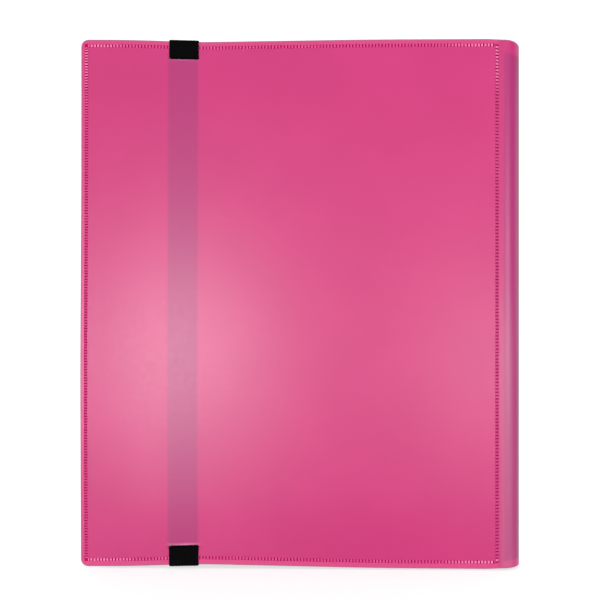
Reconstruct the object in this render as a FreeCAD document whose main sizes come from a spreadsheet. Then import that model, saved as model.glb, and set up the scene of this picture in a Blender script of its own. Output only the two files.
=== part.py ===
import FreeCAD, Part
import os

import Sketcher

# Trading card binder, closed, standing upright on its lower edge.
# +Z is up, the back cover faces -Y, the front cover faces +Y and the spine is at +X.
# The origin is under the middle of the binder, level with the underside of the elastic band.

SIZES = {
    # covers, one plastic sheet folded round the spine, with a lining welded inside each panel
    "cover_width": 269.0,  # from the fore edge to the spine's outer face
    "cover_height": 323.0,
    "binder_depth": 33.0,  # over the outer faces of both closed covers
    "sheet_thickness": 0.8,
    "fore_corner_radius": 4.5,
    "spine_curve": 12.0,  # outer radius of the bend from a cover into the spine
    "lining_thickness": 0.4,
    "lining_setback": 12.4,  # from the spine's outer face to the lining's edge
    "lining_raise": 1.2,  # room for the elastic between the back panel and its lining
    "weld_rim": 7.0,  # width of the lining's rim, which lies on the panel
    # elastic band
    "elastic_width": 18.0,
    "elastic_thickness": 0.9,
    "elastic_inset": 63.3,  # from the fore edge to the band's centre line
    "slit_width": 19.0,
    "slit_height": 1.6,
    "slit_below_top": 10.6,
    "slit_above_foot": 11.4,
    # pages
    "page_count": 20.0,
    "page_pitch": 1.4,
    "page_width": 252.0,  # from the hinge line at the root to the fore edge
    "page_height": 308.0,
    "page_foot": 5.2,  # from the covers' lower edge to the pages' lower edge
    "page_corner_radius": 4.0,
    "backing_thickness": 0.3,
    "root_setback": 8.5,  # from the spine's outer face to where the pages leave their root block
    "root_thickness": 4.9,  # of the block in which all page roots are welded
    "root_corner_radius": 4.5,
    "root_rib_width": 8.0,  # of the rib that bonds the block to the middle of the spine
    "root_gap": 0.2,  # bend clearance between the block and the pages
    # clear pocket films, three columns of three pockets on each side of a page
    "pocket_grid": 3.0,
    "flange_width": 18.0,  # plain strip of the page between its root and its films
    "film_thickness": 0.1,
    "card_space": 0.33,
    "film_border": 1.0,  # bare backing left round the films
    "pocket_width": 70.0,
    "pocket_height": 95.5,
    "pocket_wall": 0.4,  # width of the step from a pocket down to the weld beside it
    "mouth_width": 3.5,
    "mouth_height": 90.0,
}

ELEVATION = "XZ_Plane"  # covers, linings and pages are drawn as seen from the back
PLAN = "XY_Plane"  # drawn as seen from above
SECTION = "YZ_Plane"  # drawn as seen from the spine
VOLUME_TOLERANCE = 0.5  # mm3, for the test that a cut removed what it should
PLACE_TOLERANCE = 1e-4  # mm, for finding an edge by its position


class Size:
    """A length known both as a number and as the expression that the sheet gives it by."""

    def __init__(self, value, text=None):
        self.value = float(value)
        self.text = str(value) if text is None else text

    def combine(self, other, sign, value):
        return Size(value, f"({self.text} {sign} {as_size(other).text})")

    def __add__(self, other):
        return self.combine(other, "+", self.value + as_size(other).value)

    def __sub__(self, other):
        return self.combine(other, "-", self.value - as_size(other).value)

    def __mul__(self, other):
        return self.combine(other, "*", self.value * as_size(other).value)

    def __truediv__(self, other):
        return self.combine(other, "/", self.value / as_size(other).value)

    def __neg__(self):
        return Size(-self.value, f"(-1 * {self.text})")


def as_size(thing):
    return thing if isinstance(thing, Size) else Size(thing)


doc = FreeCAD.newDocument("card_binder")
sheet = doc.addObject("Spreadsheet::Sheet", "sizes")
for row, (alias, number) in enumerate(SIZES.items(), start=1):
    sheet.set(f"A{row}", alias)
    sheet.set(f"B{row}", str(number))
    sheet.setAlias(f"B{row}", alias)
doc.recompute()


def size(alias):
    return Size(sheet.get(alias), f"sizes.{alias}")


# ---------------------------------------------------------------- shared places

fore_edge_x = -size("cover_width") / 2
spine_x = size("cover_width") / 2
back_y = -size("binder_depth") / 2
front_y = size("binder_depth") / 2
foot_z = size("elastic_thickness")
head_z = foot_z + size("cover_height")
bend_x = spine_x - size("spine_curve")
bend_y = front_y - size("spine_curve")
elastic_x = fore_edge_x + size("elastic_inset")
root_x = spine_x - size("root_setback")
hinge_x = root_x - size("root_gap")
page_foot_z = foot_z + size("page_foot")
column_pitch = (size("page_width") - size("flange_width")) / size("pocket_grid")
row_pitch = size("page_height") / size("pocket_grid")
pocket_rows = range(int(size("pocket_grid").value))


# ---------------------------------------------------------------- building helpers


def bind(thing, name, length):
    thing.setExpression(name, as_size(length).text)


def place(thing, x=0, y=0, z=0):
    for axis, length in zip("xyz", (x, y, z)):
        bind(thing, f"Placement.Base.{axis}", length)


def new_body(label, x=0, y=0, z=0):
    body = doc.addObject("PartDesign::Body", label)
    body.Label = label
    place(body, x, y, z)
    return body


def new_sketch(body, name, role):
    """An empty sketch on one of the body's own origin planes."""
    sketch = body.newObject("Sketcher::SketchObject", f"{body.Name}_{name}")
    plane = next(p for p in body.Origin.OriginFeatures if p.Role == role)
    sketch.AttachmentSupport = [(plane, "")]
    sketch.MapMode = "FlatFace"
    return sketch


def pin(sketch, kind, line, length):
    """Fix the start of a line at a bound distance from the sketch's origin."""
    index = sketch.addConstraint(Sketcher.Constraint(kind, -1, 1, line, 1, length.value))
    name = f"{kind}_{line}"
    sketch.renameConstraint(index, name)
    bind(sketch, f"Constraints.{name}", length)


def polygon(sketch, corners):
    """A closed outline of straight lines, with every corner fixed by two bound sizes."""
    corners = [(as_size(u), as_size(v)) for u, v in corners]
    first = sketch.GeometryCount
    points = [FreeCAD.Vector(u.value, v.value, 0) for u, v in corners]
    for here, there in zip(points, points[1:] + points[:1]):
        sketch.addGeometry(Part.LineSegment(here, there), False)
    for offset, (u, v) in enumerate(corners):
        line = first + offset
        following = first + (offset + 1) % len(corners)
        sketch.addConstraint(Sketcher.Constraint("Coincident", line, 2, following, 1))
        pin(sketch, "DistanceX", line, u)
        pin(sketch, "DistanceY", line, v)


def rectangle(sketch, low_u, high_u, low_v, high_v):
    polygon(sketch, [(low_u, low_v), (high_u, low_v), (high_u, high_v), (low_u, high_v)])


def pad(body, sketch, length, both_ways=False):
    feature = body.newObject("PartDesign::Pad", f"{sketch.Name}_pad")
    feature.Profile = sketch
    feature.Midplane = both_ways
    bind(feature, "Length", length)
    doc.recompute()
    return feature


def cut(body, sketch, depth, expected):
    """Cut a sketch's area to a depth along the sketch's normal, and test what it removed."""
    before = body.Shape.Volume
    feature = body.newObject("PartDesign::Pocket", f"{sketch.Name}_cut")
    feature.Profile = sketch
    feature.Reversed = True
    bind(feature, "Length", depth)
    doc.recompute()
    removed = before - body.Shape.Volume
    if abs(removed - expected) > VOLUME_TOLERANCE:
        raise RuntimeError(f"{feature.Name} removed {removed:.2f} mm3, not {expected:.2f}")


def round_edges(body, radius, wanted):
    """Fillet the body's edges whose middle point the test 'wanted' accepts."""
    base = body.Tip
    edges = base.Shape.Edges
    names = [f"Edge{i}" for i, edge in enumerate(edges, start=1) if wanted(edge.CenterOfMass)]
    if not names:
        raise RuntimeError(f"{body.Label} has no edge to round")
    feature = body.newObject("PartDesign::Fillet", f"{body.Name}_round")
    feature.Base = (base, names)
    bind(feature, "Radius", radius)
    doc.recompute()


def near(a, length):
    return abs(a - as_size(length).value) < PLACE_TOLERANCE


def corner_edges(body, x):
    """A test for the two edges that run through an upright plate's thickness at this x."""
    outline = body.Tip.Shape.BoundBox

    def wanted(middle):
        level = near(middle.z, outline.ZMin) or near(middle.z, outline.ZMax)
        across = outline.YMin + PLACE_TOLERANCE < middle.y < outline.YMax - PLACE_TOLERANCE
        return near(middle.x, x) and level and across

    return wanted


# ---------------------------------------------------------------- covers and linings


def plate(label, face_y, high_x, thickness):
    """An upright plate from the fore edge to high_x, lying on the -Y side of face_y."""
    body = new_body(label, y=face_y, z=foot_z)
    outline = new_sketch(body, "outline", ELEVATION)
    rectangle(outline, fore_edge_x, high_x, 0, size("cover_height"))
    pad(body, outline, thickness)
    round_edges(body, size("fore_corner_radius"), corner_edges(body, fore_edge_x))
    return body


def back_cover_sheet():
    """The back panel, with the two slits that the elastic passes through."""
    body = plate("back_cover_sheet", back_y + size("sheet_thickness"), bend_x, size("sheet_thickness"))
    slits = new_sketch(body, "slits", ELEVATION)
    half_width = size("slit_width") / 2
    half_height = size("slit_height") / 2
    for middle_z in (size("slit_above_foot"), size("cover_height") - size("slit_below_top")):
        rectangle(
            slits,
            elastic_x - half_width,
            elastic_x + half_width,
            middle_z - half_height,
            middle_z + half_height,
        )
    both_slits = 2 * size("slit_width").value * size("slit_height").value
    cut(body, slits, size("sheet_thickness"), both_slits * size("sheet_thickness").value)
    return body


def front_cover_sheet():
    return plate("front_cover_sheet", front_y, bend_x, size("sheet_thickness"))


def spine_sheet():
    """The flat middle of the spine, between the two bends."""
    box = doc.addObject("Part::Box", "spine_sheet")
    bind(box, "Length", size("sheet_thickness"))
    bind(box, "Width", bend_y * 2)
    bind(box, "Height", size("cover_height"))
    place(box, spine_x - size("sheet_thickness"), -bend_y, foot_z)
    return box


def hinge_strip(label, middle_y, turn):
    """A quarter bend of the sheet, where a cover flexes against the spine."""
    rounds = []
    for name, radius in (
        ("outside", size("spine_curve")),
        ("inside", size("spine_curve") - size("sheet_thickness")),
    ):
        quarter = doc.addObject("Part::Cylinder", f"{label}_{name}")
        quarter.Angle = 90
        bind(quarter, "Radius", radius)
        bind(quarter, "Height", size("cover_height"))
        rounds.append(quarter)
    bend = doc.addObject("Part::Cut", label)
    bend.Base, bend.Tool = rounds
    bend.Placement.Rotation = FreeCAD.Rotation(FreeCAD.Vector(0, 0, 1), turn)
    place(bend, bend_x, middle_y, foot_z)
    return bend


def front_inner_lining():
    """A flat lining, welded round its edge to the inside of the front panel."""
    face_y = front_y - size("sheet_thickness")
    high_x = spine_x - size("lining_setback")
    return plate("front_inner_lining", face_y, high_x, size("lining_thickness"))


def back_inner_lining():
    """A shallow tray: its rim lies on the back panel, and its floor clears the elastic."""
    high_x = spine_x - size("lining_setback")
    tray_depth = size("lining_thickness") + size("lining_raise")
    inner_y = back_y + size("sheet_thickness") + tray_depth
    body = plate("back_inner_lining", inner_y, high_x, tray_depth)
    rim = size("weld_rim")
    floor_rim = rim - size("lining_thickness")
    height = size("cover_height")

    step = new_sketch(body, "rim_step", ELEVATION)
    rectangle(step, fore_edge_x - rim, high_x + rim, -rim, height + rim)
    floor = (fore_edge_x + floor_rim, high_x - floor_rim, floor_rim, height - floor_rim)
    rectangle(step, *floor)
    top_area = body.Shape.Volume / tray_depth.value
    floor_area = (floor[1].value - floor[0].value) * (floor[3].value - floor[2].value)
    cut(body, step, size("lining_raise"), (top_area - floor_area) * size("lining_raise").value)

    hollow = new_sketch(body, "elastic_room", ELEVATION)
    bind(hollow, "AttachmentOffset.Base.z", size("lining_thickness"))
    room = (fore_edge_x + rim, high_x - rim, rim, height - rim)
    rectangle(hollow, *room)
    room_area = (room[1].value - room[0].value) * (room[3].value - room[2].value)
    cut(body, hollow, size("lining_raise"), room_area * size("lining_raise").value)
    return body


# ---------------------------------------------------------------- elastic band


def elastic_profile(label, corners):
    """A band whose side view is the outline given, and whose width runs along X."""
    body = new_body(label, x=elastic_x)
    outline = new_sketch(body, "side_view", SECTION)
    polygon(outline, corners)
    pad(body, outline, size("elastic_width"), both_ways=True)
    return body


def elastic_fixed_run():
    """The band behind the back panel, out through both slits, and up and down to the edges."""
    thick = size("elastic_thickness")
    patch_y = back_y - thick
    sheet_y = back_y + size("sheet_thickness")
    inner_y = sheet_y + thick
    lower_z = foot_z + size("slit_above_foot")
    upper_z = head_z - size("slit_below_top")
    half = thick / 2
    return elastic_profile(
        "elastic_fixed_run",
        [
            (patch_y, foot_z),
            (back_y, foot_z),
            (back_y, lower_z - half),
            (inner_y, lower_z - half),
            (inner_y, upper_z + half),
            (back_y, upper_z + half),
            (back_y, head_z),
            (patch_y, head_z),
            (patch_y, upper_z - half),
            (sheet_y, upper_z - half),
            (sheet_y, lower_z + half),
            (patch_y, lower_z + half),
        ],
    )


def elastic_loop():
    """The free part of the band: over the head, down the front cover and back under the foot."""
    thick = size("elastic_thickness")
    behind_y = back_y - thick
    ahead_y = front_y + thick
    top_z = head_z + thick
    loop = elastic_profile(
        "elastic_loop",
        [
            (behind_y, 0),
            (ahead_y, 0),
            (ahead_y, top_z),
            (behind_y, top_z),
            (behind_y, head_z),
            (front_y, head_z),
            (front_y, foot_z),
            (behind_y, foot_z),
        ],
    )
    round_edges(
        loop,
        thick / 2,
        lambda middle: near(middle.y, ahead_y) and (near(middle.z, 0) or near(middle.z, top_z)),
    )
    return loop


# ---------------------------------------------------------------- pages


def page_root_block():
    """The block in which all page roots are welded, with a rib that bonds it to the spine.

    It stands clear of the two bends, which dip towards it when the binder lies open.
    """
    body = new_body("page_root_block", z=page_foot_z)
    half_y = size("page_count") * size("page_pitch") / 2 - size("root_gap") / 2
    outer_x = root_x + size("root_thickness")
    slab = new_sketch(body, "slab", PLAN)
    rectangle(slab, root_x, outer_x, -half_y, half_y)
    pad(body, slab, size("page_height"))
    round_edges(
        body,
        size("root_corner_radius"),
        lambda middle: near(middle.x, outer_x) and near(abs(middle.y), half_y),
    )
    rib = new_sketch(body, "rib", PLAN)
    half_rib = size("root_rib_width") / 2
    rectangle(rib, outer_x, spine_x - size("sheet_thickness"), -half_rib, half_rib)
    pad(body, rib, size("page_height"))
    return body


def page_y(number):
    """Page 1 is next to the back cover and the last page next to the front cover."""
    return (Size(number) - (size("page_count") + 1) / 2) * size("page_pitch")


def page_backing(number):
    """One black page sheet, from its hinge line at the root to its fore edge."""
    body = new_body(f"page_{number:02d}_backing", hinge_x, page_y(number), page_foot_z)
    outline = new_sketch(body, "outline", ELEVATION)
    rectangle(outline, -size("page_width"), 0, 0, size("page_height"))
    pad(body, outline, size("backing_thickness"), both_ways=True)
    fore_edge = -size("page_width")
    outer = body.Tip.Shape.BoundBox
    round_edges(
        body,
        size("page_corner_radius"),
        lambda middle: near(middle.x, fore_edge)
        and near(middle.y, 0)
        and (near(middle.z, outer.ZMin) or near(middle.z, outer.ZMax)),
    )
    return body


def pocket_centres():
    """The middle of each pocket in the page's own frame, column by column from the root."""
    for column in pocket_rows:
        for row in pocket_rows:
            x = -size("flange_width") - column_pitch * (column + 0.5)
            z = row_pitch * (row + 0.5)
            yield x, z


def pocket_rectangles(sketch, margin):
    """Nine rectangles, each standing this margin outside its pocket."""
    half_width = size("pocket_width") / 2 + margin
    half_height = size("pocket_height") / 2 + margin
    for x, z in pocket_centres():
        rectangle(sketch, x - half_width, x + half_width, z - half_height, z + half_height)
    return len(pocket_rows) ** 2 * 4 * half_width.value * half_height.value


def film_solid():
    """One clear film: nine shallow pockets, with the film down on the backing between them."""
    depth = size("film_thickness") + size("card_space")
    space = size("card_space")
    border = size("film_border")
    low_x = border - size("page_width")
    high_x = -size("flange_width")
    high_z = size("page_height") - border
    body = new_body("pocket_film_master", y=-size("backing_thickness") / 2)

    outline = new_sketch(body, "outline", ELEVATION)
    rectangle(outline, low_x, high_x, border, high_z)
    pad(body, outline, depth)
    film_area = body.Shape.Volume / depth.value

    welds = new_sketch(body, "welds", ELEVATION)
    bind(welds, "AttachmentOffset.Base.z", size("film_thickness"))
    rectangle(welds, low_x - border, high_x + border, 0, high_z + border)
    raised_area = pocket_rectangles(welds, size("pocket_wall"))
    cut(body, welds, space, (film_area - raised_area) * space.value)

    pockets = new_sketch(body, "card_spaces", ELEVATION)
    pocket_area = pocket_rectangles(pockets, Size(0))
    cut(body, pockets, space, pocket_area * space.value)

    mouths = new_sketch(body, "mouths", ELEVATION)
    half_height = size("mouth_height") / 2
    for x, z in pocket_centres():
        high_u = x + size("pocket_width") / 2
        rectangle(mouths, high_u - size("mouth_width"), high_u, z - half_height, z + half_height)
    mouth_area = size("mouth_width").value * size("mouth_height").value
    all_mouths = len(pocket_rows) ** 2 * mouth_area * size("film_thickness").value
    cut(body, mouths, depth, all_mouths)
    return body


def film_pair():
    """The films of both sides of a page, in the page's own frame."""
    near_film = film_solid()
    far_film = doc.addObject("Part::Mirroring", "pocket_film_mirrored")
    far_film.Source = near_film
    far_film.Normal = FreeCAD.Vector(0, 1, 0)
    doc.recompute()
    return [near_film, far_film]


def page_pockets(number, films):
    pair = doc.addObject("Part::Compound", f"page_{number:02d}_pockets")
    pair.Links = films
    place(pair, hinge_x, page_y(number), page_foot_z)
    return pair


# ---------------------------------------------------------------- assembly and output


def build_all():
    nodes = [
        back_cover_sheet(),
        hinge_strip("back_hinge_strip", -bend_y, -90),
        spine_sheet(),
        hinge_strip("front_hinge_strip", bend_y, 0),
        front_cover_sheet(),
        back_inner_lining(),
        front_inner_lining(),
        elastic_fixed_run(),
        elastic_loop(),
        page_root_block(),
    ]
    films = film_pair()
    for number in range(1, int(size("page_count").value) + 1):
        nodes.append(page_backing(number))
        nodes.append(page_pockets(number, films))
    doc.recompute()
    return nodes


def check_all(nodes):
    for thing in doc.Objects:
        if "Invalid" in thing.State or "Error" in thing.State:
            raise RuntimeError(f"{thing.Name} did not compute: {thing.State}")
    for node in nodes:
        if node.Shape.isNull() or not node.Shape.isValid() or not node.Shape.Solids:
            raise RuntimeError(f"{node.Label} has no valid solid")


def write_all(nodes):
    os.makedirs("parts", exist_ok=True)
    for node in nodes:
        node.Shape.exportStep(f"parts/{node.Label}.step")
        box = node.Shape.BoundBox
        print(
            f"{node.Label}: {len(node.Shape.Solids)} solid(s), {node.Shape.Volume:.1f} mm3, "
            f"x {box.XMin:.2f}..{box.XMax:.2f}, y {box.YMin:.2f}..{box.YMax:.2f}, "
            f"z {box.ZMin:.2f}..{box.ZMax:.2f}"
        )


all_nodes = build_all()
check_all(all_nodes)
write_all(all_nodes)
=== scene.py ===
import math

import bmesh
import bpy
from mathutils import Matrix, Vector


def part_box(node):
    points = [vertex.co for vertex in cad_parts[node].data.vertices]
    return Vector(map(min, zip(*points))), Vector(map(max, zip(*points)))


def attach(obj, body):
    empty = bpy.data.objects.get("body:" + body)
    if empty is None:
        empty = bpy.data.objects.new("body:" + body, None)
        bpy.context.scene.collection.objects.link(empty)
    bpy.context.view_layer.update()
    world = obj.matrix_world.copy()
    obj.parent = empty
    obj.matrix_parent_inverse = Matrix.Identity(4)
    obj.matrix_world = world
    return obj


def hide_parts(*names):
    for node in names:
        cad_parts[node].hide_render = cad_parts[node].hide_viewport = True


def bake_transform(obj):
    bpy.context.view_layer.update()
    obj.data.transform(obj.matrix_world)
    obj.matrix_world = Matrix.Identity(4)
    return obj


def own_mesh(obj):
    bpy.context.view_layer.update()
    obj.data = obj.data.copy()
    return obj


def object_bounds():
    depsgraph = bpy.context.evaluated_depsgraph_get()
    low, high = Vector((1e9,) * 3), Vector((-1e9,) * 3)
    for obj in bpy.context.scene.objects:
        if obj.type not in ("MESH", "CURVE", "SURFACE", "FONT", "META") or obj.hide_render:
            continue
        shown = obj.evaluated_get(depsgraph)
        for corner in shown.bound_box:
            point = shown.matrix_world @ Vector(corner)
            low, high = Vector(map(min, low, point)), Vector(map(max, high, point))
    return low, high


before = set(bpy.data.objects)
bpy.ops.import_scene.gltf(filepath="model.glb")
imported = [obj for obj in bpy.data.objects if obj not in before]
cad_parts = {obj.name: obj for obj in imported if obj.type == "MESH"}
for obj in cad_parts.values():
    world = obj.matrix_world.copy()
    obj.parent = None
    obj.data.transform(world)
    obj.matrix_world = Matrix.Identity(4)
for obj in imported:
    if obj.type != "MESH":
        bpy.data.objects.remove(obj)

MM = 0.001
cad_low, cad_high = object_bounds()

# Sizes taken from the frame
panel_low, panel_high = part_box("back_cover_sheet")
_, spine_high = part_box("spine_sheet")
lining_low, lining_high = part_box("back_inner_lining")
front_lining_low, front_lining_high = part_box("front_inner_lining")
loop_low, loop_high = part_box("elastic_loop")
block_low, block_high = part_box("page_root_block")
FORE_X = panel_low.x
BEND_X = panel_high.x
SPINE_X = spine_high.x
FOOT_Z = panel_low.z
TOP_Z = panel_high.z
MIDDLE_Z = (FOOT_Z + TOP_Z) / 2
HALF_HEIGHT = (TOP_Z - FOOT_Z) / 2
HALF_DEPTH = -panel_low.y
SHEET = panel_high.y - panel_low.y
BEND_RADIUS = SPINE_X - BEND_X
BEND_LENGTH = BEND_RADIUS * math.pi / 2
PATTERN_END = BEND_X + BEND_LENGTH + HALF_DEPTH - BEND_RADIUS
LINING_END = lining_high.x
LINING = front_lining_high.y - front_lining_low.y
TRAY_RAISE = lining_high.y - lining_low.y - LINING
BAND_X = (loop_low.x + loop_high.x) / 2
BAND_WIDTH = loop_high.x - loop_low.x
BAND = loop_high.z - TOP_Z

# The weld that joins sheet and lining: sunk bars with raised beads between them
SEAM_FORE = FORE_X + 3.3 * MM
SEAM_SPINE = SPINE_X - 15.2 * MM
SEAM_TOP = TOP_Z - 3.8 * MM
SEAM_FOOT = FOOT_Z + 4.2 * MM
SEAM_HALF = 1.12 * MM
BAR_HALF_LENGTH = 1.0 * MM
BAR_HALF_WIDTH = 0.38 * MM
BAR_DEPTH = 0.3 * MM
BAR_FLOOR_WIDTH_SHARE = 0.8
BAR_FLOOR_LENGTH_SHARE = 0.9
BEAD_HALF_LENGTH = 0.55 * MM
BEAD_RAISE = 0.22 * MM
BARS_PER_COLUMN = 5
FORE_BARS_PER_ROW = 6
SPINE_BARS_PER_ROW = 5
FIELD_COLUMNS = 25
FIELD_ROWS = 31

# The sheets' outline, cut edge and grid, and the lining's tray
CORNER = 4.5 * MM
EDGE_INSET_SHARE = 0.3
EDGE_SUPPORT = 0.3 * MM
FIELD_STEP = 9 * MM
FIELD_MARGIN = 4 * MM
BEND_STEP = 1.2 * MM
TRAY_RIM = 7 * MM
TRAY_RAMP = 3 * MM

# The slits that the band goes through
SLIT_HALF_WIDTH = 9.5 * MM
SLIT_HALF_HEIGHT = 0.8 * MM
SLIT_TOP = TOP_Z - 10.3 * MM
SLIT_FOOT = FOOT_Z + 11.3 * MM
LIP = 0.16 * MM
LIP_REACH = 0.9 * MM

# How the used binder's sheets have settled: drawn in at the band and at the spine, swollen in between
PULL = 1.2 * MM
PULL_X = BAND_X + 35 * MM
PULL_REACH = 60 * MM
NIP = 0.7 * MM
NIP_X = BAND_X + 6 * MM
NIP_REACH = 26 * MM
FORE_BULGE = 0.6 * MM
FORE_BULGE_Z = 105 * MM
FORE_BULGE_REACH = 90 * MM
SWELL = 0.5 * MM
SWELL_FADE = 45 * MM
SWELL_VARIES = 0.3
SWELL_WAVE_X = 31 * MM
SWELL_WAVE_Z = 83 * MM
SPINE_DRAW_TOP = 2.4 * MM
SPINE_DRAW_FOOT = 0.4 * MM
SINGLE_SHEET_DROP = 0.4 * MM
SINGLE_SHEET_START = 1.5 * MM
TOP_LEAN = 1.2 * MM

# The band's ribs, its way through the slits and its patches outside them
RIBS = 10
SAMPLES_PER_RIB = 6
RIB_DEPTH = 0.22
SIDE_POWER = 10
SIDE_LEAST = 0.02
DIVE_REACH = 1.1 * MM
DIVE_SHIFT = 0.35 * MM
DIVE_STEPS = 8
RUN_STEP = 8 * MM
ACROSS_STEPS = 8
FOLD_STEPS = 5
PATCH_SPREAD = 0.01
PATCH_SPREAD_REACH = 5 * MM
PATCH_NARROWING = 0.08
PATCH_CORNER_START = 0.75
PATCH_CORNER_SLOPE = 0.55
PATCH_CORNER_FADE = 4 * MM
PICK = 0.9 * MM

# Colours, as linear red, green and blue
FIELD_TONE = (0.39, 0.012, 0.113)
BORDER_TONE = (0.445, 0.024, 0.132)
SINGLE_TONE = (0.375, 0.015, 0.115)
OVER_BLOCK_TONE = (0.285, 0.0115, 0.108)
# Painted shade: the dark gap beyond the root block, where the bend turns away from the light
BEYOND_BLOCK_SHADE_TONE = (0.225, 0.008, 0.073)
SPINE_FACE_TONE = (0.33, 0.014, 0.12)
# Painted highlight: a pale milky colour on the sheet between the spine's seam and the bend, towards the
# foot
BEND_HIGHLIGHT_TONE = (0.40, 0.19, 0.26)
RIM_TONE = (0.33, 0.057, 0.144)
SEAM_TURN_TONE = (0.36, 0.005, 0.07)
# Grooves: a deep pressed pink that is partly painted shade of the recess, then a darker painted shade near
# the corners
GROOVE_TONE_AND_SHADE = ((0.28, 0.003, 0.072), (0.17, 0.0006, 0.042))
# Beads: a light pink that is partly painted highlight, then a near-white painted highlight near the corners
BEAD_TONE_AND_HIGHLIGHT = ((0.50, 0.03, 0.16), (0.76, 0.13, 0.31))
BAND_TONES = ((0.0008, 0.0008, 0.001), (0.004, 0.0036, 0.0042))
PAGE_TONES = ((0.008, 0.008, 0.009), (0.017, 0.016, 0.018))
FILM_TONES = ((0.30, 0.31, 0.33), (0.42, 0.43, 0.45))
CLEAR_TONE = (0.97, 0.97, 0.98)
PAPER_TONES = ((0.9, 0.9, 0.9), (0.94, 0.94, 0.94))
WHITE = (1.0, 1.0, 1.0)
FLAG_TONE = (0.06, 0.06, 0.06)

# What a sheet's colour is multiplied by where the band lies behind it, and the tint's shift from the band
BAND_TINT = (0.76, 1.04, 0.95)
BAND_TINT_SHIFT = -0.6 * MM

# Brightness of the white surround as it is seen, and as it lights the binder from ahead and from aside.
# A direction counts as ahead while its share of x is below AHEAD_TO, and as aside once above ASIDE_FROM.
SURROUND = 1.08
LIT_AHEAD = 1.12
LIT_ASIDE = 0.34
AHEAD_TO = 0.35
ASIDE_FROM = 0.95

# The floor, and the dark card on it that only reflections show
FLOOR_REACH = 12.0
FLAG_LOW, FLAG_HIGH = (-1.2, -1.6), (0.42, -0.02)
FLAG_RAISE = 4 * MM

# The camera: lens and sensor in mm, turn in degrees
CAMERA_LENS = 63.0
CAMERA_SENSOR = 36.0
CAMERA_TURN = 1.47
CAMERA_ASIDE = 16.1 * MM
CAMERA_DISTANCE = 640 * MM
CAMERA_RAISE = 1.8 * MM

# Where, along the pattern, the page block's slab stops showing through the bend
SLAB_SEEN_TO = BEND_X + BEND_RADIUS * math.asin((block_high.x - 3.4 * MM - BEND_X) / BEND_RADIUS)

# Kinds of face, which are also the places of a sheet's materials
FIELD, BORDER, GROOVE, BEAD, BEAD_END = range(5)


def smooth(t):
    """0 to 1 with a level start and end."""
    t = min(1.0, max(0.0, t))
    return t * t * (3 - 2 * t)


def bell(distance, reach):
    return math.exp(-((distance / reach) ** 2))


def drawn_inward(x, upper):
    """How far the top or foot edge has been drawn towards the middle of the height."""
    draw = SPINE_DRAW_TOP if upper else SPINE_DRAW_FOOT
    round_spine = max(0.0, (x - BEND_X) / (SPINE_X - BEND_X)) ** 3
    inward = PULL * bell(x - PULL_X, PULL_REACH) + NIP * bell(x - NIP_X, NIP_REACH)
    inward += draw * round_spine
    inward += SINGLE_SHEET_DROP * smooth((x - SEAM_SPINE + SEAM_HALF) / SINGLE_SHEET_START)
    if upper:
        inward += TOP_LEAN * smooth((x - FORE_X) / (SPINE_X - FORE_X))
    return inward


def settle(x, y, z):
    """Where a point of a sheet or the band has settled: drawn in at top and foot, swollen in between."""
    up = (z - MIDDLE_Z) / HALF_HEIGHT
    fore_share = smooth((BEND_X - x) / (BEND_X - FORE_X))
    bulge = FORE_BULGE * bell(z - FORE_BULGE_Z, FORE_BULGE_REACH) * fore_share
    across = smooth((x - FORE_X) / SWELL_FADE) * smooth((BEND_X - x) / SWELL_FADE)
    along = smooth((TOP_Z - z) / SWELL_FADE) * smooth((z - FOOT_Z) / SWELL_FADE)
    waves = 1 + SWELL_VARIES * math.sin(x / SWELL_WAVE_X + z / SWELL_WAVE_Z)
    swell = SWELL * across * along * waves
    return Vector((x - bulge, y + math.copysign(swell, y), z - drawn_inward(x, up > 0) * up))


def wrap(side, u, z, depth):
    """A point of a flat pattern, wrapped round the spine. side is -1 at the back and 1 at the front."""
    angle = (u - BEND_X) / BEND_RADIUS
    radius = BEND_RADIUS - depth
    if angle <= 0:
        x, y = u, HALF_DEPTH - depth
    elif angle <= math.pi / 2:
        x = BEND_X + radius * math.sin(angle)
        y = HALF_DEPTH - BEND_RADIUS + radius * math.cos(angle)
    else:
        x, y = SPINE_X - depth, PATTERN_END - u
    return settle(x, side * y, z)


def lines(start, end, step, needed=()):
    """Evenly spaced grid lines from start to end, with one at each needed place."""
    stops = sorted({start, end, *needed})
    found = [start]
    for a, b in zip(stops, stops[1:]):
        count = max(1, round((b - a) / step))
        found += [a + (b - a) * i / count for i in range(1, count + 1)]
    return found


class Sheet:
    """A sheet being made. Each point (u, z, depth) is made once and shared by the faces round it."""

    def __init__(self, side, deeper):
        self.side = side
        self.deeper = deeper
        self.mesh = bmesh.new()
        self.pattern = self.mesh.verts.layers.float_vector.new("pattern")
        self.made = {}

    def vert(self, u, z, depth):
        key = (round(u / MM, 3), round(z / MM, 3), round(depth / MM, 3))
        if key not in self.made:
            vert = self.mesh.verts.new(wrap(self.side, u, z, depth + self.deeper(u, z)))
            vert[self.pattern] = (u, z, depth)
            self.made[key] = vert
        return self.made[key]

    def face(self, points, kind=FIELD):
        corners = []
        for point in points:
            vert = self.vert(*point)
            if vert not in corners:
                corners.append(vert)
        if len(corners) > 2:
            self.mesh.faces.new(corners).material_index = kind

    def finish(self, name, materials):
        bmesh.ops.recalc_face_normals(self.mesh, faces=self.mesh.faces)
        return finish_mesh(self.mesh, name, materials)


def finish_mesh(built, name, materials):
    """Turns a bmesh into an object with smooth faces that stay crisp at its sharp edges."""
    sharp_angle = math.radians(35)
    data = bpy.data.meshes.new(name)
    for edge in built.edges:
        kinds = {face.material_index for face in edge.link_faces}
        crisp = len(kinds) > 1 and max(kinds) >= GROOVE
        edge.smooth = not crisp and edge.calc_face_angle(0) < sharp_angle
    for face in built.faces:
        face.smooth = True
    built.to_mesh(data)
    built.free()
    made = bpy.data.objects.new(name, data)
    bpy.context.scene.collection.objects.link(made)
    for material in materials:
        data.materials.append(material)
    return made


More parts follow.
